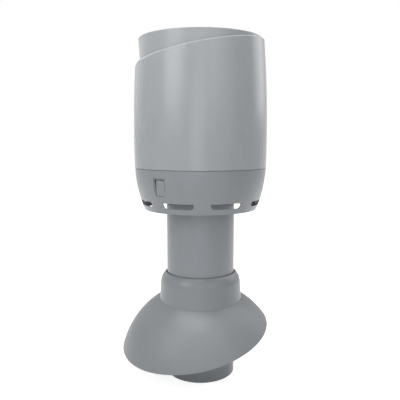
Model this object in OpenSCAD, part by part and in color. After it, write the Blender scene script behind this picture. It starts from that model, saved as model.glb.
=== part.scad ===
// Roof vent pipe: a plain duct pipe through a domed roof skirt, under a two-shell rain hood.
// The origin is the middle of the pipe's lower end, +Z is up, and -Y is the front of the photograph.
// Turns about the pipe are counted from the front, positive towards +X.

/* [Pipe] */
// Outer diameter of the duct pipe
pipe_d = 110; // [90:1:116]
// Wall of the duct pipe
pipe_wall = 3; // [2:0.1:4]
// Length of the duct pipe, from its lower end to its end inside the hood
pipe_l = 352; // [300:1:420]
// Length of the pipe's upper end inside the hood
pipe_in_hood = 80.2; // [76:0.1:84]
// Chamfer round both pipe ends
pipe_chamfer = 1.6; // [0.6:0.1:1.8]
// Running gap between the pipe and a lip seal, on the radius
seal_gap = 0.08; // [0.02:0.01:0.1]
// Gap between the pipe and a rigid guide, on the radius
guide_gap = 0.5; // [0.3:0.1:0.9]

/* [Roof skirt] */
// Radius of the ball shape
dome_r = 133.9; // [131:0.1:137]
// Height of the ball's middle above the pipe's lower end
dome_z = 9.4; // [8:0.1:14]
// How far the ball's middle lies behind the pipe's axis
dome_back = 8.7; // [6:0.1:16]
// How far it lies to the right of the pipe's axis
dome_side = 0.5; // [0:0.1:3]
// Distance of the rim's plane from the ball's middle
rim_rise = 57.7; // [52:0.1:62]
// Wall of the skirt
dome_wall = 3; // [2:0.1:4]
// Tilt of the rim's plane
rim_tilt = 13.7; // [10:0.1:18]
// Direction in which the rim rises, turned from +X towards +Y
rim_turn = 42.2; // [30:0.1:70]
// Width of the small flat flange that stiffens the rim
rim_lip = 3.2; // [1:0.1:5]
// Thickness of that flange
rim_lip_t = 1.8; // [1.2:0.1:2.4]
// Wall of the neck tube on top of the skirt
neck_wall = 3; // [2:0.1:3.4]
// Lower end of the neck tube, inside the skirt
neck_low = 112; // [100:1:115]
// Upper end of the neck tube, under the collar
neck_top = 146; // [145:1:150]

/* [Neck collar] */
// Height of the collar's lip
collar_top = 168; // [164:1:172]
// Distance of the collar's lower edge from the pipe
collar_reach = 12.8; // [12.4:0.1:16]
// How much narrower the collar is where its wall turns in to the lip, on the radius
collar_draw = 2.6; // [2:0.1:3]
// Wall of the collar
collar_wall = 6; // [5:0.1:7]
// Height at which the wall turns in to the lip
shoulder_z = 153; // [150:0.5:156]
// Gap between the collar's lip and the pipe, on the radius
lip_gap = 1.5; // [1:0.1:3.2]
// Bulge of the lip outside the straight line from its edge to the shoulder
lip_bulge = 1.5; // [1:0.1:2]
// Width of the flat on top of the lip
lip_flat = 0.8; // [0.4:0.1:1.2]
// Thickness of the collar's throat, above its seal
throat_t = 4; // [3:0.1:5]
// Height of the neck's lip seal
neck_seal_h = 9; // [6:0.1:10]
// Thickness of the guide's flange, on the end of the neck tube
guide_flange = 3.2; // [2:0.1:4]
// Depth of the guide inside the neck tube
guide_l = 18; // [8:1:26]

/* [Hood ring] */
// Height of the ring, from its lower edge to the seam with the shell
seam_h = 65.9; // [62:0.1:69]
// How much narrower the ring is than the shell at the seam, on the radius
seam_in = 0.2; // [0.1:0.05:0.4]
// Height of a point half way up the ring's curve
ring_mid_h = 30.6; // [28:0.1:33]
// How much narrower the ring is there than at the seam, on the radius
ring_mid_in = 4.9; // [4.3:0.1:5.6]
// How much narrower the ring's lower edge is than the seam, on the radius
ring_low_in = 15.4; // [13.5:0.1:17]
// Wall of the ring
ring_wall = 2.2; // [1.6:0.1:2.6]
// Number of air slots, with a gusset between each two
slot_count = 8; // [6:1:9]
// Width of one slot
slot_w = 49.4; // [30:0.1:54]
// Height of the band below the slots
slot_low_h = 8.4; // [6:0.1:10]
// Height of the slots
slot_h = 8.3; // [5:0.1:10]
// Rounding of the slots' lower corners
slot_round = 5.5; // [1:0.1:6]
// Height at which the slotted foot ends and the band with the windows starts
ring_part_h = 21.8; // [20:0.1:24]
// Turn of the first gusset from the front
slot_turn = 1.7; // [-10:0.1:10]
// Thickness of a gusset
gusset_t = 2.4; // [1.6:0.1:4]
// Height of a gusset's lowest point above the ring's lower edge, at the wall
gusset_low_h = 16.7; // [14:0.1:18]
// Length of a gusset's edge along the wall
gusset_foot_h = 13.5; // [10:0.1:16]
// Depth of a gusset at the flange
gusset_root_h = 10; // [8:0.1:12]
// Distance of the flange's edge from the hub's bell
flange_reach = 10.8; // [10:0.1:12]
// Thickness of the flange that the gussets carry
flange_t = 3.4; // [2.5:0.1:4]
// Diameter of a screw boss under that flange
boss_d = 8; // [7:0.1:9]
// Height of a screw boss, with the flange
boss_h = 10; // [9:0.1:12]

/* [Snap tongues] */
// Number of snap tongues round the ring
snap_count = 3; // [3:1:3]
// Turn of the first tongue from the front
snap_turn = -36.2; // [-40:0.1:-33]
// Width of the tongue's window
snap_window_w = 21.5; // [18:0.1:24]
// Height of the window's lower edge above the ring's lower edge
snap_low_h = 26.9; // [24:0.1:28]
// Height of the window's upper edge above the ring's lower edge
snap_top_h = 54.6; // [53:0.1:56]
// Width of the stepped frame round the window's top and sides
frame_w = 1.9; // [1:0.1:3]
// Height of the window's sides below that frame
frame_low_h = 8; // [6:0.1:10]
// Depth of the stepped frame
frame_depth = 0.8; // [0.4:0.1:1.2]
// Gap on the tongue's right side
snap_side_gap = 0.3; // [0.3:0.1:1]
// Gap on the tongue's left side, at its free end
snap_wide_gap = 3.4; // [1.5:0.1:3.8]
// Gap above the tongue
snap_top_gap = 1.6; // [0.8:0.1:2]
// Depth of the tongue's face below the ring's face
snap_sink = 0.5; // [0.3:0.1:0.8]
// Gap below the tongue, at its flexing root
snap_root_gap = 0.4; // [0.3:0.05:0.6]
// Width of the tongue's hook
hook_w = 8; // [6:0.1:9]
// Height of the tongue's hook
hook_h = 6; // [4:0.1:7]
// Width of the notch for a screwdriver, in the tongue's corner
notch_w = 3.4; // [2:0.1:4]
// Height of that notch
notch_h = 8; // [4:0.1:9]

/* [Hood shell] */
// Radius of the shell's lower edge
shell_low_r = 105.9; // [96:0.1:118]
// Height above the ring's lower edge at which the shell is widest
shell_mid_h = 144.2; // [130:0.1:158]
// How much wider the shell is there, on the radius
shell_bulge = 0.9; // [0.5:0.1:2]
// Height above the ring's lower edge at which the shell starts to turn in
shell_high_h = 232.2; // [228:0.1:238]
// How much narrower the shell is there than at its lower edge, on the radius
shell_draw = 1.9; // [1:0.1:2.4]
// Wall of the shell
shell_wall = 2.4; // [1.8:0.1:3]
// Height of the slanted rim's crest above the ring's lower edge, over the pipe's axis
rim_h = 252; // [246:0.1:262]
// Slant of the rim
rim_slant = 10.5; // [6:0.1:11]
// Rounding of the rim
rim_round = 7; // [4:0.1:8]
// Depth of the shell's spigot inside the ring
spigot_l = 27; // [24:0.5:28]
// Wall of the spigot
spigot_wall = 2.2; // [1.6:0.1:2.6]
// Thickness of the step from the shell to its spigot
foot_t = 2.4; // [1.8:0.1:3]
// Height of the seam's groove
seam_gap = 0.6; // [0.4:0.1:0.9]

/* [Inner sleeve] */
// Height of the sleeve's upper edge above the middle of the slanted rim
sleeve_rise = 18; // [17:0.1:40]
// How much narrower the sleeve's upper edge is than the shell's lower edge, on the radius
sleeve_in = 7.2; // [6.8:0.1:8]
// Taper of the sleeve, as the angle of its wall
sleeve_taper = 3.4; // [3:0.1:3.8]
// Wall of the sleeve
sleeve_wall = 2.4; // [1.8:0.1:3]
// Height of the sleeve's lower end above the drip tray's floor
sleeve_seat_h = 4.5; // [3:0.1:6]
// Rounding of the sleeve's upper edge
sleeve_edge = 0.8; // [0.5:0.1:1]
// Number of fins that centre the shell on the sleeve
fin_count = 6; // [4:1:8]
// Thickness of a fin
fin_t = 2; // [1.4:0.1:3]
// Distance of a fin's upper end below the middle of the slanted rim
fin_drop = 34; // [32:1:60]
// Distance of a fin's lower end above the tray's cup
fin_rise = 4; // [3:0.5:8]

/* [Hub] */
// Wall of the hub's tube
hub_wall = 3.4; // [2.6:0.1:4]
// Depth of the pipe inside the hub
hub_grip = 55; // [50:0.5:57]
// Height of the hub's tube above the pipe's end
hub_over = 14; // [10:0.5:18]
// Height of the hub's flange above the ring's lower edge
flange_h = 50.2; // [48:0.1:52]
// Depth of the shoulder that stops the pipe
stop_depth = 4; // [2:0.1:5]
// Thickness of the hub's flange
hub_flange_t = 3; // [2:0.1:4]
// Depth of the pocket for the hub's seal, on the radius
pocket_depth = 4.8; // [4.2:0.1:5]
// Wall of the bell round that pocket
bell_wall = 2.4; // [2:0.1:3]
// Height of the hub's lip seal
hub_seal_h = 8; // [5:0.1:9]
// Depth of the ring that holds the seal, inside the hub
retainer_l = 5; // [3:0.1:7]
// Number of screws through the hub's flange
screw_count = 4; // [3:1:6]
// Distance of the circle of screws from the hub's bell
screw_out = 5.8; // [5.4:0.1:6.2]
// Diameter of a screw's shank
screw_d = 3.9; // [3:0.1:4.2]
// Diameter of a screw's head
screw_head_d = 7.6; // [6:0.1:8]
// Length of a screw's shank
screw_l = 11; // [9:0.5:13]

/* [Drip tray] */
// Thickness of the tray's floor
tray_t = 2.5; // [1.8:0.1:3]
// Height of the cup that receives the sleeve
tray_cup_h = 14; // [8:0.5:18]
// Wall of that cup
cup_wall = 2.4; // [1.8:0.1:3]
// Width of the ledge that the sleeve stands on
ledge_w = 4.5; // [4:0.1:5]
// Number of drain slots in the floor
drain_count = 8; // [4:1:8]
// Length of a drain slot, as an angle
drain_span = 24; // [10:1:30]
// Width of a drain slot, on the radius
drain_w = 6.8; // [4:0.1:8]

/* [Rain cap] */
// Distance of the cap's drip edge outside the pipe, on the radius
cap_over = 13; // [12:0.5:19]
// Height of the cap's drip edge above the pipe's end
cap_rise = 66.5; // [58:0.5:78]
// Slope of the cap
cap_slope = 28; // [20:0.5:35]
// Wall of the cap
cap_wall = 2.4; // [1.8:0.1:3]
// Depth of the air bowl under the cap
bowl_depth = 24; // [12:0.5:30]
// Number of legs under the cap
leg_count = 4; // [3:1:6]
// Thickness of a leg
leg_t = 2.6; // [1.8:0.1:4]
// Distance of the cap's screws from its drip edge
cap_screw_in = 9.5; // [9:0.1:10]
// Length of a cap screw's shank
cap_screw_l = 8.6; // [8:0.1:9]
// Width of the ring on top of the legs
leg_ring_w = 9; // [8:0.1:10]
// Thickness of that ring
leg_ring_t = 2.6; // [2:0.1:3]
// Height of the ring that clamps the legs to the hub
clamp_h = 8; // [6:0.1:10]
// Wall of that ring
clamp_wall = 2.6; // [2:0.1:3]

/* [Hidden] */
$fn = 96;
seat = 0.05;
clear = 0.3;
slack = 0.1;
pipe_r = pipe_d / 2;

// Skirt and neck
neck_r = pipe_r + 5.3;
guide_top = neck_top + guide_flange;
seal_low = guide_top + clear;
collar_groove_top = seal_low + neck_seal_h + clear;
neck_seal_out = pipe_r + 4.6;
collar_r = pipe_r + collar_reach;
shoulder_r = collar_r - collar_draw;

// Hood: everything stands on the ring's lower edge, which lies a fixed length below the pipe's end
hood_z = pipe_l - pipe_in_hood;
seam_z = hood_z + seam_h;
seam_r = shell_low_r - seam_in;
ring_low_z = hood_z;
ring_part_z = hood_z + ring_part_h;
ring_low_r = seam_r - ring_low_in;
ring_mid_z = hood_z + ring_mid_h;
ring_mid_r = seam_r - ring_mid_in;
slot_low_z = hood_z + slot_low_h;
gusset_low_z = hood_z + gusset_low_h;
snap_low_z = hood_z + snap_low_h;
snap_top_z = hood_z + snap_top_h;
shell_mid_z = hood_z + shell_mid_h;
shell_mid_r = shell_low_r + shell_bulge;
shell_high_z = hood_z + shell_high_h;
shell_high_r = shell_low_r - shell_draw;
rim_z = hood_z + rim_h;
rim_fall = shell_mid_r * tan(rim_slant);

// Middle and radius of the arcs that the ring and the shell are turned from
wall_m = mid3([seam_r, seam_z], [ring_mid_r, ring_mid_z], [ring_low_r, ring_low_z]);
wall_arc = norm([seam_r, seam_z] - wall_m);
shell_m = mid3([shell_low_r, seam_z], [shell_mid_r, shell_mid_z], [shell_high_r, shell_high_z]);
shell_arc = norm([shell_low_r, seam_z] - shell_m);
spigot_low = seam_z - spigot_l;
spigot_r = wall_r(spigot_low) - ring_wall - clear;
shell_low_z = seam_z + seam_gap;

// Hub, tray and sleeve
hub_low_z = pipe_l - hub_grip;
hub_top_z = pipe_l + hub_over;
hub_r = pipe_r + guide_gap + hub_wall;
hub_seal_r = pipe_r + pocket_depth;
bell_r = hub_seal_r + bell_wall;
hub_flange_z = hood_z + flange_h;
ring_flange_z = hub_flange_z - flange_t;
flange_r = bell_r + flange_reach;
gusset_r = bell_r + 0.5;
screw_pitch_r = bell_r + screw_out;
screw_turn = slot_turn + 180 / slot_count;
tray_z = hub_flange_z + hub_flange_t;
head_z = tray_z + tray_t;
stop_z = pipe_l + clear;
sleeve_low_z = head_z + sleeve_seat_h;
sleeve_top_z = rim_z + sleeve_rise;
sleeve_r = shell_low_r - sleeve_in;
cup_r = sleeve_at(sleeve_low_z) + slack;

// Rain cap
cap_r = pipe_r + cap_over;
cap_z = pipe_l + cap_rise;
cap_screw_r = cap_r - cap_screw_in;
leg_ring_z = cap_z - 5.5;
leg_ring_in = cap_screw_r - leg_ring_w / 2;
leg_ring_out = cap_screw_r + leg_ring_w / 2;

// Snap tongues
snap_r = wall_r(snap_low_z) - ring_wall / 2;
tongue_top_z = snap_top_z - frame_w - snap_top_gap;
hook_top_z = tongue_top_z - 0.6;
snap_span = angle_of(snap_window_w - 2 * frame_w, snap_r);

// Middle of the circle through three points of a profile
function mid3(a, b, c) = let (
    d = 2 * (a.x * (b.y - c.y) + b.x * (c.y - a.y) + c.x * (a.y - b.y)),
    sa = a.x * a.x + a.y * a.y, sb = b.x * b.x + b.y * b.y, sc = c.x * c.x + c.y * c.y)
    [(sa * (b.y - c.y) + sb * (c.y - a.y) + sc * (a.y - b.y)) / d,
     (sa * (c.x - b.x) + sb * (a.x - c.x) + sc * (b.x - a.x)) / d];
function wall_r(z) = wall_m.x + sqrt(wall_arc * wall_arc - pow(z - wall_m.y, 2));
function shell_r(z) = shell_m.x + sqrt(shell_arc * shell_arc - pow(z - shell_m.y, 2));
function angle_of(w, r) = 2 * asin(w / r / 2);
function sleeve_at(z) = sleeve_r - (sleeve_top_z - z) * tan(sleeve_taper);

// A flat plate that stands radially, drawn as radius and height, t thick
module radial_plate(turn, t) {
    rotate([0, 0, turn - 90]) rotate([90, 0, 0])
        translate([0, 0, -t / 2]) linear_extrude(t) children();
}

module ring_band(r0, r1, z0, z1) {
    translate([0, 0, z0]) difference() {
        cylinder(r = r1, h = z1 - z0);
        translate([0, 0, -1]) cylinder(r = r0, h = z1 - z0 + 2);
    }
}

// Self-tapping screw with a pan head, head upwards at height z
module pan_screw(z, l) {
    translate([0, 0, z]) difference() {
        union() {
            cylinder(d = screw_head_d, h = 1.6);
            translate([0, 0, 1.6]) cylinder(d1 = screw_head_d, d2 = screw_head_d - 2.4, h = 0.9);
        }
        translate([0, 0, 1]) cylinder(d = 2.6, h = 3, $fn = 6);
    }
    translate([0, 0, z - l]) cylinder(d1 = screw_d * 0.6, d2 = screw_d, h = 2);
    translate([0, 0, z - l + 2]) cylinder(d = screw_d, h = l - 2);
}

// Screws evenly round a circle
module on_circle(n, r, turn) {
    for (i = [0:n - 1]) rotate([0, 0, turn + 360 * i / n]) translate([0, -r, 0]) children();
}

module vent_pipe() {
    color("slategray") rotate_extrude() polygon([
        [pipe_r - pipe_wall, 0], [pipe_r - pipe_chamfer, 0], [pipe_r, pipe_chamfer],
        [pipe_r, pipe_l - pipe_chamfer], [pipe_r - pipe_chamfer, pipe_l],
        [pipe_r - pipe_wall, pipe_l]]);
}

// The skirt's ball at an inset of 0, or its inside at an inset of its wall
module dome_solid(inset) {
    translate([dome_side, dome_back, dome_z]) rotate([0, 0, 90])
        sphere(r = dome_r - inset, $fn = 240);
}

// Everything above the rim's tilted plane, up to a height
module over_rim(h) {
    translate([dome_side, dome_back, dome_z]) rotate([0, 0, rim_turn]) rotate([0, -rim_tilt, 0])
        translate([0, 0, rim_rise]) cylinder(r = dome_r * 1.5, h = h);
}

// Domed skirt with a tilted rim, and the upright neck tube that the pipe passes through
module skirt_dome() {
    neck_out = neck_r + neck_wall;
    color("gray") difference() {
        union() {
            intersection() {
                difference() {
                    dome_solid(0);
                    dome_solid(dome_wall);
                }
                over_rim(dome_r);
            }
            intersection() {
                difference() {
                    dome_solid(dome_wall / 2);
                    dome_solid(dome_wall + rim_lip);
                }
                over_rim(rim_lip_t);
            }
            translate([0, 0, neck_low]) cylinder(r = neck_out, h = neck_top - neck_low);
        }
        translate([0, 0, neck_low - 1]) cylinder(r = neck_r, h = dome_r);
        translate([0, 0, neck_top]) cylinder(r = neck_out * 1.3, h = dome_r);
    }
}

// Collar that hides the neck: its lower edge follows the skirt
module neck_collar() {
    lip_in = pipe_r + lip_gap;
    edge = neck_r + neck_wall + slack;
    lip = [lip_in + lip_flat, collar_top];
    shoulder = [shoulder_r, shoulder_z];
    out = [lip.y - shoulder.y, shoulder.x - lip.x] / norm(lip - shoulder);
    bulge = (lip + shoulder) / 2 + lip_bulge * out;
    m = mid3(lip, bulge, shoulder);
    color("dimgray") difference() {
        rotate_extrude() difference() {
            union() {
                polygon([[collar_r, neck_low], shoulder, [shoulder_r - collar_wall, shoulder_z],
                    [collar_r - collar_wall, neck_low]]);
                intersection() {
                    translate(m) circle(r = norm(lip - m), $fn = 360);
                    translate([lip_in, neck_top]) square([shoulder_r - lip_in, collar_top - neck_top]);
                }
                translate([lip_in, neck_top]) square([throat_t, shoulder_z - neck_top]);
            }
            translate([0, neck_low - 1]) square([edge, guide_top - neck_low + 1 + seat]);
            translate([0, guide_top]) square([neck_seal_out + clear, collar_groove_top - guide_top]);
        }
        dome_solid(-slack);
    }
}

// Rubber ring that grips the pipe inside the collar
module lip_ring(z, h, out) {
    bore = pipe_r + seal_gap;
    rotate_extrude() polygon([[bore, z + h * 0.3], [bore + 1, z], [out, z], [out, z + h],
        [bore + 1.6, z + h], [bore, z + h * 0.75], [bore + 0.9, z + h * 0.6], [bore + 0.9, z + h * 0.45]]);
}

module neck_seal() {
    color([0.16, 0.17, 0.18]) lip_ring(seal_low, neck_seal_h, neck_seal_out);
}

// Guide bush in the neck tube, with a flange on the tube's end
module neck_guide() {
    color("silver") rotate_extrude() polygon([
        [pipe_r + guide_gap, neck_top - guide_l], [neck_r - seat - 0.6, neck_top - guide_l],
        [neck_r - seat, neck_top - guide_l + 1.2], [neck_r - seat, neck_top + seat],
        [neck_r + neck_wall - 0.4, neck_top + seat], [neck_r + neck_wall - 0.4, guide_top],
        [pipe_r + guide_gap, guide_top]]);
}

module hub_seal() {
    color([0.16, 0.17, 0.18])
        lip_ring(hub_low_z + retainer_l + clear, hub_seal_h, hub_seal_r - clear);
}

// Socket that carries the hood on the pipe: seal pocket, stop shoulder and screwed flange
module hub_socket() {
    pocket_top = hub_low_z + retainer_l + hub_seal_h + 2 * clear;
    bore = pipe_r + guide_gap;
    color("gainsboro") difference() {
        rotate_extrude() polygon([
            [hub_seal_r, hub_low_z], [bell_r, hub_low_z], [bell_r, pocket_top + 2],
            [hub_r, pocket_top + 6], [hub_r, hub_flange_z], [flange_r, hub_flange_z],
            [flange_r, tray_z], [hub_r, tray_z], [hub_r, hub_top_z], [pipe_r - stop_depth, hub_top_z],
            [pipe_r - stop_depth, stop_z], [bore, stop_z], [bore, pocket_top], [hub_seal_r, pocket_top]]);
        on_circle(screw_count, screw_pitch_r, screw_turn)
            translate([0, 0, hub_flange_z - 1]) cylinder(d = screw_d + 0.4, h = hub_flange_t + 2);
    }
}

// Ring that closes the seal pocket from below
module seal_retainer() {
    color("gray") rotate_extrude() polygon([
        [pipe_r + guide_gap, hub_low_z - 2], [bell_r - 1, hub_low_z - 2], [bell_r, hub_low_z - 1],
        [bell_r, hub_low_z - seat], [hub_seal_r - seat, hub_low_z - seat],
        [hub_seal_r - seat, hub_low_z + retainer_l], [pipe_r + guide_gap, hub_low_z + retainer_l]]);
}

// Band t thick inside the circle of radius r round m, from x0 for w and between two heights
module band(m, r, t, x0, w, z0, z1) {
    intersection() {
        translate(m) difference() {
            circle(r = r, $fn = 360);
            circle(r = r - t, $fn = 360);
        }
        translate([x0, z0]) square([w, z1 - z0]);
    }
}

// Curved wall of the ring between two heights, as a profile
module wall_profile(z0, z1, inset, t) {
    band(wall_m, wall_arc - inset, t, ring_low_r / 2, seam_r, z0, z1);
}

// The part of a revolved profile that spans an angle, its middle at turn
module sector(turn, span) {
    rotate([0, 0, turn - 90 - span / 2]) rotate_extrude(angle = span) children();
}

module slot_cut(turn) {
    half = slot_w / 2;
    rotate([0, 0, turn]) translate([0, -ring_low_r * 0.84, slot_low_z]) rotate([90, 0, 0])
        linear_extrude(ring_low_r / 3) intersection() {
            translate([-half, 0]) square([slot_w, slot_h]);
            union() {
                translate([-half, slot_round]) square([slot_w, slot_h]);
                translate([slot_round - half, 0]) square([slot_w - 2 * slot_round, slot_h]);
                for (s = [-1, 1]) translate([s * (half - slot_round), slot_round])
                    circle(r = slot_round, $fn = 32);
            }
        }
}

// Foot of the hood's lower ring, with the air slots
module base_ring() {
    color("darkgray") difference() {
        rotate_extrude() wall_profile(ring_low_z, ring_part_z, 0, ring_wall);
        for (i = [0:slot_count - 1]) slot_cut(slot_turn + (i + 0.5) * 360 / slot_count);
    }
}

// Upper band of the same ring, with the windows of the snap tongues
module window_band() {
    color("darkgray") difference() {
        rotate_extrude() wall_profile(ring_part_z, seam_z, 0, ring_wall);
        for (i = [0:snap_count - 1]) {
            turn = snap_turn + i * 360 / snap_count;
            sector(turn, snap_span) translate([wall_r(snap_low_z) - ring_wall * 3, snap_low_z])
                square([ring_wall * 6, snap_top_z - frame_w - snap_low_z]);
            sector(turn, snap_span + 2 * angle_of(frame_w, snap_r))
                wall_profile(snap_low_z + frame_low_h, snap_top_z, -1, 1 + frame_depth);
        }
    }
}

// Spider inside the ring: gussets to its wall, and the flange that is screwed to the hub
module ring_spider() {
    foot_z1 = gusset_low_z + gusset_foot_h;
    foot_in = seam_r - gusset_root_h * 2;
    color("darkgray") difference() {
        union() {
            for (i = [0:slot_count - 1]) radial_plate(slot_turn + i * 360 / slot_count, gusset_t)
                intersection() {
                    translate(wall_m) circle(r = wall_arc - ring_wall - seat, $fn = 360);
                    polygon([[gusset_r + 1, ring_flange_z - gusset_root_h], [gusset_r + 1, ring_flange_z + 1],
                        [flange_r, ring_flange_z + 1], [wall_r(foot_z1) - ring_wall * 2, foot_z1],
                        [seam_r, foot_z1], [seam_r, gusset_low_z], [foot_in, gusset_low_z]]);
                }
            ring_band(gusset_r, flange_r, ring_flange_z, hub_flange_z);
            on_circle(screw_count, screw_pitch_r, screw_turn)
                translate([0, 0, hub_flange_z - boss_h]) cylinder(d = boss_d, h = boss_h - 1);
        }
        on_circle(screw_count, screw_pitch_r, screw_turn)
            translate([0, 0, hub_flange_z - boss_h - 1]) cylinder(d = screw_d + 0.1, h = boss_h + 2);
    }
}

// Sprung tongue in its window: rooted below, with a hook behind its free end
module snap_tongue(i) {
    turn = snap_turn + i * 360 / snap_count;
    span = snap_span - 2 * angle_of(snap_side_gap, snap_r);
    half_w = snap_window_w / 2 - frame_w - snap_side_gap;
    lean = atan((snap_wide_gap - snap_side_gap) / (tongue_top_z - snap_low_z));
    hook_in = spigot_r - spigot_wall * 0.7;
    hook_low_z = hook_top_z - hook_h;
    color("darkgray") {
        difference() {
            sector(turn, span)
                wall_profile(snap_low_z + snap_root_gap, tongue_top_z, snap_sink, ring_wall - snap_sink);
            rotate([0, 0, turn]) translate([-half_w, -snap_r, snap_low_z]) rotate([0, lean, 0])
                translate([-seam_r, -seam_r / 2, -seam_h]) cube([seam_r, seam_r, 2 * seam_h]);
            rotate([0, 0, turn]) translate([-half_w, -snap_r, tongue_top_z - notch_h])
                translate([-seam_r, -seam_r / 2, 0]) cube([seam_r + notch_w, seam_r, seam_h]);
        }
        radial_plate(turn, hook_w) polygon([[wall_r(hook_top_z) - 1, hook_top_z],
            [hook_in, hook_top_z - hook_h * 0.2], [hook_in, hook_top_z - hook_h * 0.4],
            [wall_r(hook_low_z) - 1, hook_low_z]]);
    }
}

module snap_tongue_1() { snap_tongue(0); }
module snap_tongue_2() { snap_tongue(1); }
module snap_tongue_3() { snap_tongue(2); }

// Floor under the sleeve: catches rain off the cap and the sleeve and drains it between the gussets
module drip_tray() {
    cup_top = tray_z + tray_cup_h;
    color("silver") difference() {
        rotate_extrude() polygon([
            [hub_r + slack, tray_z], [cup_r + cup_wall, tray_z],
            [sleeve_at(cup_top) + slack + cup_wall, cup_top], [sleeve_at(cup_top) + slack, cup_top],
            [cup_r, sleeve_low_z - seat], [cup_r - ledge_w, sleeve_low_z - seat],
            [cup_r - ledge_w, head_z], [hub_r + slack, head_z]]);
        for (i = [0:drain_count - 1]) sector(slot_turn + (i + 0.5) * 360 / drain_count, drain_span)
            translate([cup_r - ledge_w - drain_w - 1, tray_z - 1]) square([drain_w, tray_t + 2]);
        on_circle(screw_count, screw_pitch_r, screw_turn)
            translate([0, 0, tray_z - 1]) cylinder(d = screw_d + 0.4, h = tray_t + 2);
    }
}

module flange_screws() {
    color("lightsteelblue") on_circle(screw_count, screw_pitch_r, screw_turn)
        pan_screw(head_z + seat, screw_l);
}

// Tapered sleeve that guides the air out, with fins that centre the shell round it
module inner_sleeve() {
    fin_low = tray_z + tray_cup_h + fin_rise;
    fin_high = rim_z - fin_drop;
    low_r = sleeve_at(sleeve_low_z);
    color("lightgray") {
        rotate_extrude() polygon([
            [low_r - sleeve_wall, sleeve_low_z], [low_r, sleeve_low_z],
            [sleeve_at(sleeve_top_z - sleeve_edge), sleeve_top_z - sleeve_edge],
            [sleeve_r - sleeve_edge, sleeve_top_z], [sleeve_r - sleeve_wall + sleeve_edge, sleeve_top_z],
            [sleeve_r - sleeve_wall, sleeve_top_z - sleeve_edge]]);
        for (i = [0:fin_count - 1]) radial_plate((i + 0.5) * 360 / fin_count, fin_t) intersection() {
            translate(shell_m) circle(r = shell_arc - shell_wall - clear, $fn = 360);
            polygon([[sleeve_at(fin_low) - 1, fin_low], [sleeve_at(fin_high) - 1, fin_high],
                [shell_mid_r, fin_high], [shell_mid_r, fin_low + sleeve_in],
                [sleeve_at(fin_low) + ledge_w, fin_low]]);
        }
    }
}

module rim_place() {
    translate([0, 0, rim_z]) rotate([0, -rim_slant, 0]) children();
}

// Round-shouldered body that trims the shell along its slanted rim: its shoulder leans on the wall
// at the rim's lowest and highest points, and everything below the rounding stays whole
module rim_trim(inset) {
    low_side = shell_r(rim_z - rim_round - rim_fall) / cos(rim_slant);
    high_side = shell_r(rim_z - rim_round + rim_fall) / cos(rim_slant);
    r = (low_side + high_side) / 2 - inset;
    fillet = rim_round - inset;
    rim_place() translate([(high_side - low_side) / 2, 0, 0]) rotate_extrude() {
        translate([0, -3 * shell_low_r]) square([2 * shell_low_r, 3 * shell_low_r - rim_round]);
        translate([0, -rim_round - 1]) square([r - fillet, rim_round + 1 - inset]);
        intersection() {
            translate([r - fillet, -rim_round]) circle(r = fillet, $fn = 64);
            translate([0, -rim_round - 1]) square([2 * shell_low_r, rim_round + 1]);
        }
    }
}

// The shell's outside at an inset of 0, or its inside at an inset of its wall
module shell_solid(inset, low) {
    intersection() {
        rotate_extrude() intersection() {
            translate(shell_m) circle(r = shell_arc - inset, $fn = 360);
            translate([0, low]) square([shell_mid_r + 1, rim_z + rim_fall * 2 - low]);
        }
        rim_trim(inset);
    }
}

// Outer shell: bulging wall, slanted rim rolled in to the sleeve, and a spigot inside the ring
module outer_shell() {
    bore_low = rim_z - rim_fall * 4;
    bore_high = rim_z + rim_fall * 2;
    foot_top = shell_low_z + foot_t;
    color("gray") difference() {
        union() {
            difference() {
                shell_solid(0, shell_low_z);
                shell_solid(shell_wall, shell_low_z - foot_t);
            }
            ring_band(spigot_r - spigot_wall, shell_low_r - 1, shell_low_z, foot_top);
            ring_band(spigot_r - spigot_wall, spigot_r, spigot_low, foot_top);
        }
        translate([0, 0, bore_low]) cylinder(r1 = sleeve_at(bore_low) + slack,
            r2 = sleeve_at(bore_high) + slack, h = bore_high - bore_low);
        for (i = [0:snap_count - 1]) sector(snap_turn + i * 360 / snap_count,
            angle_of(hook_w + 2, spigot_r))
            translate([spigot_r - spigot_wall * 3, hook_top_z - hook_h - 1])
                square([spigot_wall * 4, hook_h + 1.6]);
    }
}

// Legs that carry the rain cap over the pipe's mouth
module cap_frame() {
    clamp_r = hub_r + clamp_wall;
    color("silver") difference() {
        union() {
            ring_band(pipe_r - stop_depth, clamp_r, hub_top_z + seat, hub_top_z + clamp_wall);
            ring_band(hub_r + slack, clamp_r, hub_top_z - clamp_h, hub_top_z + 1);
            for (i = [0:leg_count - 1]) radial_plate(45 + i * 360 / leg_count, leg_t)
                polygon([[pipe_r - stop_depth + 1, hub_top_z + 1], [clamp_r, hub_top_z + 1],
                    [leg_ring_out, leg_ring_z + 1], [leg_ring_in, leg_ring_z + 1]]);
            ring_band(leg_ring_in, leg_ring_out, leg_ring_z, leg_ring_z + leg_ring_t);
        }
        on_circle(leg_count, cap_screw_r, 0)
            translate([0, 0, leg_ring_z - 1]) cylinder(d = screw_d + 0.4, h = leg_ring_t + 2);
    }
}

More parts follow.
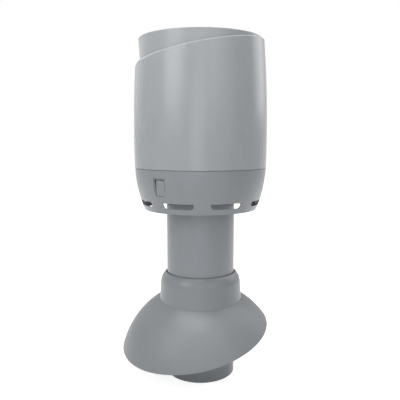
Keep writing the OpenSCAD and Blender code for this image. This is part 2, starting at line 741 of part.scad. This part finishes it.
// Bowl under the cap that turns the rising air outwards
module cap_bowl() {
    bowl_r = (leg_ring_in * leg_ring_in + bowl_depth * bowl_depth) / (2 * bowl_depth);
    z0 = leg_ring_z + leg_ring_t + seat;
    color("gainsboro") difference() {
        union() {
            intersection() {
                translate([0, 0, z0 - bowl_depth + bowl_r]) difference() {
                    sphere(r = bowl_r);
                    sphere(r = bowl_r - 2);
                }
                translate([0, 0, z0 - bowl_depth - 1]) cylinder(r = leg_ring_in, h = bowl_depth + 3);
            }
            ring_band(leg_ring_in - 2, cap_r - 4, z0, cap_z - seat);
        }
        on_circle(leg_count, cap_screw_r, 0)
            translate([0, 0, z0 - 1]) cylinder(d = screw_d + 0.4, h = 6);
    }
}

// Conical cap that sheds the rain outwards
module rain_cone() {
    rise = cap_r * tan(cap_slope);
    color("darkgray") difference() {
        union() {
            rotate_extrude() polygon([[0, cap_z + rise], [cap_r - 1, cap_z + 1], [cap_r, cap_z - 3],
                [cap_r - 2.4, cap_z - 3], [cap_r - 3.6, cap_z],
                [0, cap_z + rise - cap_wall / cos(cap_slope)]]);
            intersection() {
                on_circle(leg_count, cap_screw_r, 0) translate([0, 0, cap_z]) cylinder(r = 4, h = 20);
                rotate_extrude() polygon([[0, cap_z], [0, cap_z + rise - 0.5], [cap_r - 1.5, cap_z + 0.4],
                    [cap_r - 1.5, cap_z]]);
            }
        }
        on_circle(leg_count, cap_screw_r, 0)
            translate([0, 0, cap_z - 1]) cylinder(d = screw_d + 0.1, h = 4.6);
    }
}

module cap_screws() {
    color("lightsteelblue") on_circle(leg_count, cap_screw_r, 0)
        translate([0, 0, leg_ring_z - seat]) rotate([180, 0, 0]) pan_screw(0, cap_screw_l);
}

vent_pipe();
neck_seal();
skirt_dome();
neck_collar();
neck_guide();
hub_seal();
hub_socket();
seal_retainer();
base_ring();
window_band();
ring_spider();
snap_tongue_1();
snap_tongue_2();
snap_tongue_3();
drip_tray();
flange_screws();
inner_sleeve();
outer_shell();
cap_frame();
cap_bowl();
rain_cone();
cap_screws();
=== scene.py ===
import math

import bmesh
import bpy
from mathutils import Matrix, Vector

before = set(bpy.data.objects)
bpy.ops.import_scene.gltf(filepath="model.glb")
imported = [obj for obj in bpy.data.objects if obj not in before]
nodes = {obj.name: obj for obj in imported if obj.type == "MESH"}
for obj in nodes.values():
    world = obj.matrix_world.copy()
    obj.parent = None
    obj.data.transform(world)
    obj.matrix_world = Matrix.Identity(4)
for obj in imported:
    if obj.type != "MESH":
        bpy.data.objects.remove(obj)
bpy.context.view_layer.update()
print("frame loaded:", len(nodes), "nodes")


# the photograph's view, in metres and degrees

view = {
    "place": (-0.0008, -0.8454, 0.3821),  # in front of the pipe, level with the hood's lower half
    "downTilt": 4.5,
    "lens": 46.72,  # mm
    "frameWidth": 36,  # mm
    "frameShift": -0.0473,  # the picture's centre lies below the lens axis
    "nearest": 0.05,
    "farthest": 60,
}


def addCamera():
    lens = bpy.data.cameras.new("photoCamera")
    lens.lens = view["lens"]
    lens.sensor_width = view["frameWidth"]
    lens.shift_y = view["frameShift"]
    lens.clip_start = view["nearest"]
    lens.clip_end = view["farthest"]
    camera = bpy.data.objects.new("photoCamera", lens)
    bpy.context.scene.collection.objects.link(camera)
    camera.location = view["place"]
    camera.rotation_euler = (math.radians(90 - view["downTilt"]), 0, 0)
    bpy.context.scene.camera = camera


addCamera()
print("camera set")


# shader maths: a node's output that can be added, subtracted and multiplied

class Value:
    def __init__(self, maker, output):
        self.maker = maker
        self.output = output

    def math(self, operation, other):
        return self.maker.node("ShaderNodeMath", {"operation": operation}, [self, other])

    def __add__(self, other):
        return self.math("ADD", other)

    def __sub__(self, other):
        return self.math("SUBTRACT", other)

    def __mul__(self, other):
        return self.math("MULTIPLY", other)

    __radd__ = __add__
    __rmul__ = __mul__


class Maker:
    def __init__(self, owner, ending="ShaderNodeOutputMaterial"):
        self.owner = owner
        owner.use_nodes = True
        self.tree = owner.node_tree
        self.tree.nodes.clear()
        self.ending = self.tree.nodes.new(ending)

    def node(self, kind, settings=None, inputs=(), output=0):
        made = self.tree.nodes.new(kind)
        for key, value in (settings or {}).items():
            setattr(made, key, value)
        pairs = inputs.items() if isinstance(inputs, dict) else enumerate(inputs)
        for key, value in pairs:
            if isinstance(value, Value):
                self.tree.links.new(value.output, made.inputs[key])
            else:
                made.inputs[key].default_value = value
        return Value(self, made.outputs[output])

    def place(self, stretch):
        coords = self.node("ShaderNodeTexCoord", output="Object")
        return self.node("ShaderNodeMapping", {}, {"Vector": coords, "Scale": stretch})

    def noise(self, scale, detail, roughness=0.55, stretch=(1, 1, 1)):
        return self.node("ShaderNodeTexNoise", {}, {"Vector": self.place(stretch), "Scale": scale,
                                                    "Detail": detail, "Roughness": roughness})

    def ramp(self, value, start, end):  # 0 up to start, 1 from end on
        made = self.node("ShaderNodeValToRGB", {}, [value])
        black, white = made.output.node.color_ramp.elements
        black.position, white.position = start, end
        return made

    def tones(self, amount, dark, light):
        dark, light = [tone if isinstance(tone, Value) else (*tone, 1) for tone in (dark, light)]
        return self.node("ShaderNodeMix", {"data_type": "RGBA"},
                         {0: amount, 6: dark, 7: light}, output=2)  # 6, 7 and output 2 are the colours

    def bump(self, height, strength, depth):
        return self.node("ShaderNodeBump", {}, {"Height": height, "Strength": strength, "Distance": depth})

    def seen(self):  # 1 for the camera and for what gloss, metal and glass reflect
        camera = self.node("ShaderNodeLightPath", output="Is Camera Ray")
        gloss = self.node("ShaderNodeLightPath", output="Is Glossy Ray")
        through = self.node("ShaderNodeLightPath", output="Is Transmission Ray")
        return camera.math("MAXIMUM", gloss).math("MAXIMUM", through)

    def show(self, shader):
        self.tree.links.new(shader.output, self.ending.inputs["Surface"])
        return self.owner

    def finish(self, settings):
        return self.show(self.node("ShaderNodeBsdfPrincipled", {}, settings))


def newMaker(name):
    return Maker(bpy.data.materials.new(name))


def scaled(colour, amount):
    return tuple(part * amount for part in colour)


# moulded plastic, in one grey per moulding; the ring's grey is the hood's plastic darkened as painted shade

plastics = {  # linear colours; spread is how far the tone wanders, grain and streaks how much they show
    "hood": {"colour": (0.294, 0.312, 0.326), "rough": 0.26, "spread": 0.05, "grain": 0.35,
             "streaks": 0.1, "stretch": (1, 1, 0.35)},
    "sleeve": {"colour": (0.328, 0.346, 0.360), "rough": 0.30, "spread": 0.05, "grain": 0.35,
               "streaks": 0.1, "stretch": (1, 1, 0.35)},
    # painted shade: the ring is the hood's plastic, its grey darkened to stand for the shade on its lower
    # part, which curves in and faces down
    "ring": {"colour": (0.216, 0.230, 0.243), "rough": 0.32, "spread": 0.05, "grain": 0.35,
             "streaks": 0.4, "stretch": (1, 1, 0.35)},
    "skirt": {"colour": (0.172, 0.184, 0.194), "rough": 0.46, "spread": 0.05, "grain": 0.5,
              "streaks": 0.2, "stretch": (1, 1, 1)},
    "collar": {"colour": (0.198, 0.212, 0.224), "rough": 0.36, "spread": 0.05, "grain": 0.4,
               "streaks": 0.2, "stretch": (1, 1, 1)},
    "pipe": {"colour": (0.224, 0.241, 0.255), "rough": 0.36, "spread": 0.06, "grain": 0.3,
             "streaks": 0.7, "stretch": (1, 1, 0.12)},
    "inner": {"colour": (0.245, 0.260, 0.272), "rough": 0.46, "spread": 0.07, "grain": 0.5,
              "streaks": 0.3, "stretch": (1, 1, 1)},
}

moulding = {
    "clouds": {"scale": 9, "detail": 3, "roughness": 0.5},  # faint and broad
    "flow": {"scale": 60, "detail": 4, "roughness": 0.6},  # where the plastic ran into the mould
    "spark": {"scale": 2600, "detail": 2, "roughness": 0.6},  # the mould's fine spark grain
    "hairlines": {"scale": 800, "detail": 2, "roughness": 0.5, "stretch": (1, 1, 0.03)},
    "hairlineEdges": (0.56, 0.68),
    "toneEdges": (0.3, 0.7),
    "flowShare": 0.35,  # of the tone; the clouds make the rest
    "cloudRough": 0.10,  # how much each pattern moves the roughness
    "flowRough": 0.08,
    "hairlineRough": 0.10,
    "hairlineTone": 0.5,
    "hairlineLight": 1.15,
    "hairlineDepth": 0.6,
    "softBump": (0.12, 0.0006),  # strength and depth in metres
    "grainBump": (0.3, 0.00012),  # the strength is for a grain of 1
    "ior": 1.49,
}


def mouldedPlastic(name, use):
    make = newMaker(name)
    clouds = make.noise(**moulding["clouds"], stretch=use["stretch"])
    flow = make.noise(**moulding["flow"], stretch=use["stretch"])
    spark = make.noise(**moulding["spark"])
    hairlines = use["streaks"] * make.ramp(make.noise(**moulding["hairlines"]), *moulding["hairlineEdges"])
    share = moulding["flowShare"]
    tone = make.ramp((1 - share) * clouds + share * flow, *moulding["toneEdges"])
    dark = scaled(use["colour"], 1 - use["spread"])
    light = scaled(use["colour"], 1 + use["spread"])
    worn = scaled(use["colour"], moulding["hairlineLight"])
    body = make.tones(tone, dark, light)
    rough = use["rough"] + moulding["cloudRough"] * (clouds - 0.5) + moulding["flowRough"] * (flow - 0.5)
    rough = rough + moulding["hairlineRough"] * hairlines
    soft = make.bump(flow, *moulding["softBump"])
    strength, depth = moulding["grainBump"]
    grain = make.node("ShaderNodeBump", {}, {"Height": spark - moulding["hairlineDepth"] * hairlines,
                                             "Strength": use["grain"] * strength, "Distance": depth,
                                             "Normal": soft})
    return make.finish({"Base Color": make.tones(moulding["hairlineTone"] * hairlines, body, worn),
                        "Roughness": rough, "Normal": grain, "IOR": moulding["ior"]})


rubber = {
    "cloudScale": 40,
    "grainScale": 1800,
    "dark": (0.022, 0.022, 0.024),
    "light": (0.045, 0.045, 0.048),
    "rough": 0.52,
    "roughSpread": 0.16,
    "bump": (0.25, 0.0002),
}


def sealRubber():
    make = newMaker("sealRubber")
    cloud = make.noise(rubber["cloudScale"], 3)
    grain = make.noise(rubber["grainScale"], 2)
    return make.finish({"Base Color": make.tones(cloud, rubber["dark"], rubber["light"]),
                        "Roughness": rubber["rough"] + rubber["roughSpread"] * cloud,
                        "Normal": make.bump(grain, *rubber["bump"])})


steel = {
    "streak": {"scale": 300, "detail": 3, "roughness": 0.6, "stretch": (1, 1, 0.15)},
    "dark": (0.42, 0.42, 0.41),
    "light": (0.62, 0.62, 0.60),
    "rough": 0.22,
    "roughSpread": 0.18,
    "bump": (0.15, 0.0001),
}


def screwSteel():
    make = newMaker("screwSteel")
    streak = make.noise(**steel["streak"])
    return make.finish({"Base Color": make.tones(streak, steel["dark"], steel["light"]),
                        "Metallic": 1.0, "Roughness": steel["rough"] + steel["roughSpread"] * streak,
                        "Normal": make.bump(streak, *steel["bump"])})


finishes = {name: mouldedPlastic(name + "Plastic", use) for name, use in plastics.items()}
finishes["rubber"] = sealRubber()
finishes["steel"] = screwSteel()
print("materials made")


# every node of the frame gets its finish

dressed = {
    "hood": ["outer_shell"],
    "sleeve": ["inner_sleeve"],
    # the ring's nodes take the hood's plastic darkened as painted shade
    "ring": ["base_ring", "window_band", "ring_spider", "snap_tongue_1", "snap_tongue_2", "snap_tongue_3"],
    "skirt": ["skirt_dome"],
    "collar": ["neck_collar"],
    "pipe": ["vent_pipe"],
    "inner": ["neck_guide", "hub_socket", "seal_retainer", "drip_tray", "cap_frame", "cap_bowl", "rain_cone"],
    "rubber": ["neck_seal", "hub_seal"],
    "steel": ["flange_screws", "cap_screws"],
}


def dressNodes():
    for finish, names in dressed.items():
        for name in names:
            slots = nodes[name].material_slots
            if not slots:
                nodes[name].data.materials.append(finishes[finish])
            for slot in slots:
                slot.material = finishes[finish]


dressNodes()
print("nodes dressed")


# a pale floor, whose glow for the camera grows outwards so that the object's shadow stays

floorLook = {
    "size": 14.0,
    "colour": (0.80, 0.80, 0.81),
    "speckleScale": 14,
    "speckleLight": 1.02,
    "rough": 0.9,
    "glowNear": 0.8,
    "glowFar": 1.0,
    "nearRadius": 0.25,
    "farRadius": 0.75,
}


def paleFloor():
    make = newMaker("paleFloor")
    speckle = make.noise(floorLook["speckleScale"], 3)
    coords = make.node("ShaderNodeTexCoord", output="Object")
    away = make.node("ShaderNodeVectorMath", {"operation": "LENGTH"}, [coords], output="Value")
    glow = make.node("ShaderNodeMapRange", {"interpolation_type": "SMOOTHSTEP"},
                     {"Value": away, "From Min": floorLook["nearRadius"], "From Max": floorLook["farRadius"],
                      "To Min": floorLook["glowNear"], "To Max": floorLook["glowFar"]})
    colour = floorLook["colour"]
    return make.finish({"Base Color": make.tones(speckle, colour, scaled(colour, floorLook["speckleLight"])),
                        "Roughness": floorLook["rough"],
                        "Emission Color": make.tones(make.seen() * glow, (0, 0, 0), (1, 1, 1)),
                        "Emission Strength": 1.0})


def addFloor():
    shape = bmesh.new()
    bmesh.ops.create_grid(shape, x_segments=2, y_segments=2, size=floorLook["size"] / 2)
    mesh = bpy.data.meshes.new("floor")
    shape.to_mesh(mesh)
    shape.free()
    mesh.materials.append(paleFloor())
    floor = bpy.data.objects.new("floor", mesh)
    bpy.context.scene.collection.objects.link(floor)


# surroundings: white where they are seen, and a faint light on the object

surroundings = {"colour": (1.0, 1.0, 1.0), "lightColour": (0.95, 0.97, 1.0), "light": 0.06}


def paleSurroundings():
    world = bpy.data.worlds.new("studio")
    bpy.context.scene.world = world
    make = Maker(world, "ShaderNodeOutputWorld")
    faint = make.node("ShaderNodeBackground", {}, [(*surroundings["lightColour"], 1), surroundings["light"]])
    white = make.node("ShaderNodeBackground", {}, [(*surroundings["colour"], 1), 1.0])
    make.show(make.node("ShaderNodeMixShader", {}, [make.seen(), faint, white]))


# square lamps, all equally far from a point inside the hood and turned to it

lampAim = {"middle": (0, 0, 0.36), "away": 1.5}

lamps = {  # turn from the front towards +X and rise in degrees, size in metres, watts
    "overhead": {"turn": -2, "rise": 74, "size": 0.5, "watts": 13.5},
    "keyHigh": {"turn": -40, "rise": 50, "size": 0.8, "watts": 3.0},
    "keyLow": {"turn": -45, "rise": 22, "size": 0.8, "watts": 7.0},
    "fillFront": {"turn": 10, "rise": 20, "size": 0.8, "watts": 2.2},
    "fillRight": {"turn": 35, "rise": 20, "size": 0.8, "watts": 2.0},
    "rightHigh": {"turn": 100, "rise": 55, "size": 1.0, "watts": 6.6},
    "rightSide": {"turn": 118, "rise": 20, "size": 0.8, "watts": 3.8},
    "rimLight": {"turn": -72, "rise": 66, "size": 0.2, "watts": 7.0},
    "lowFill": {"turn": -5, "rise": 1, "size": 0.6, "watts": 1.8},
    "leftRear": {"turn": -130, "rise": 20, "size": 0.8, "watts": 0.9},
}


def addLamps():
    for name, use in lamps.items():
        light = bpy.data.lights.new(name, "AREA")
        light.shape = "SQUARE"
        light.size = use["size"]
        light.energy = use["watts"]
        lamp = bpy.data.objects.new(name, light)
        bpy.context.scene.collection.objects.link(lamp)
        turn, rise = math.radians(use["turn"]), math.radians(use["rise"])
        towards = Vector((math.sin(turn) * math.cos(rise), -math.cos(turn) * math.cos(rise), math.sin(rise)))
        lamp.location = Vector(lampAim["middle"]) + towards * lampAim["away"]
        lamp.rotation_euler = towards.to_track_quat("Z", "Y").to_euler()


addFloor()
paleSurroundings()
addLamps()
bpy.context.scene.view_settings.view_transform = "Standard"
print("stage lit")
